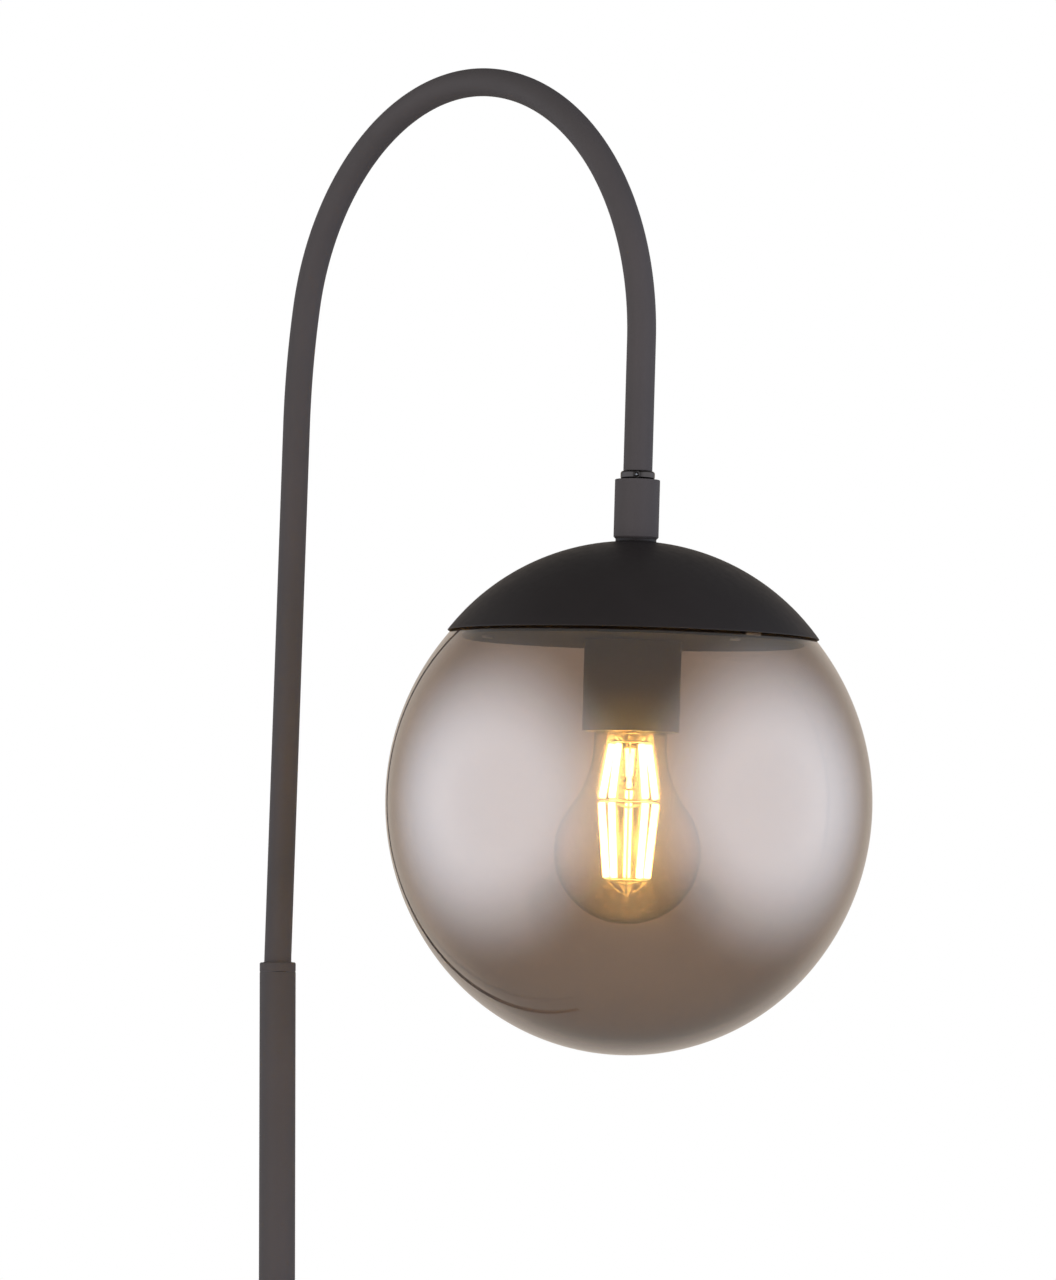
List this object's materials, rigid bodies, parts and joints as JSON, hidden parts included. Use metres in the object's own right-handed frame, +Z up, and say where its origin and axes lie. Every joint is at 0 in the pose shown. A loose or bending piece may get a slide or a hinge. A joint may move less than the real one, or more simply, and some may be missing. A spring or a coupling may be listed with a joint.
{
  "type": "globe floor lamp",
  "caption": "Arched floor lamp: round weighted foot, slim pole, swivelling bent arm and a smoked glass globe under a domed metal cap.",
  "frame": {"origin": "middle of the foot's underside, on the floor", "axes": "+Z up along the pole, +X the way the arm reaches at rest"},
  "size_m": [0.4642, 0.26, 1.5006],
  "materials": {
    "coat": "matt anthracite powder coat",
    "cap_coat": "matt near-black powder coat",
    "black_nickel": "polished black nickel",
    "smoked_glass": "smoked, clear, polished",
    "bulb_clear": "clear",
    "lit_filament": "phosphor coated, lit",
    "support_wire": "drawn wire",
    "zinc_steel": "zinc plated",
    "brass": "turned",
    "bulb_nickel": "nickel plated",
    "iron": "raw casting",
    "pad_rubber": "foam pad",
    "black_plastic": "moulded",
    "bush_plastic": "turned nylon",
    "steatite": "unglazed",
    "lead_sheath": "smooth",
    "core_sheath": "smooth"
  },
  "bodies": {
    "stand": {"base_pad": "pad_rubber", "base_weight": "iron", "base_cover": "coat", "cable_gland": "black_plastic", "foot_collar": "coat", "base_nipple": "zinc_steel", "base_washer": "zinc_steel", "base_nut": "zinc_steel", "pole_lower": "coat", "pole_middle": "coat", "pole_upper": "coat", "foot_plug": "zinc_steel", "joint_socket_lower": "zinc_steel", "joint_stud_lower": "zinc_steel", "joint_socket_upper": "zinc_steel", "joint_stud_upper": "zinc_steel", "swivel_bush": "bush_plastic", "lead_lower": "lead_sheath"},
    "arm": {"arm_tube": "coat", "stop_ring": "coat", "lead_upper": "lead_sheath"},
    "head": {"head_nipple": "zinc_steel", "lock_ring": "black_nickel", "lock_screw": "black_nickel", "collar": "coat", "neck_washer": "cap_coat", "cap_washer": "zinc_steel", "cap_nut": "zinc_steel", "carrier_nut": "zinc_steel", "cap": "cap_coat", "glass_carrier": "cap_coat", "glass_clips": "zinc_steel", "clip_rivets": "zinc_steel", "lampholder_cup": "cap_coat", "lampholder_top": "black_plastic", "lampholder_body": "black_plastic", "screw_shell": "brass", "contact_block": "steatite", "centre_contact": "brass", "terminal_screws": "brass", "lead_cores": "core_sheath"},
    "globe": {"globe_glass": "smoked_glass"},
    "bulb": {"bulb_screw_cap": "bulb_nickel", "bulb_insulator": "black_plastic", "bulb_tip": "bulb_nickel", "bulb_glass": "bulb_clear", "bulb_stem": "bulb_clear", "bulb_wires": "support_wire", "bulb_filaments": "lit_filament"}
  },
  "joints": [
    {"name": "arm_swivel", "type": "hinge", "parent": "stand", "child": "arm", "pos_m": [0, 0, 1.114], "axis": [0, 0, 1], "range_deg": [-170, 170]},
    {"name": "head_swivel", "type": "hinge", "parent": "arm", "child": "head", "pos_m": [0.23893, 0, 1.31691], "axis": [0.0459, 0, 0.9989], "range_deg": [-170, 170]},
    {"name": "globe_lift_off", "type": "slide", "parent": "head", "child": "globe", "axis": [-0.0459, 0, -0.9989], "range_m": [0, 0.13]},
    {"name": "bulb_unscrew", "type": "slide", "parent": "head", "child": "bulb", "axis": [-0.0459, 0, -0.9989], "range_m": [0, 0.028]}
  ]
}
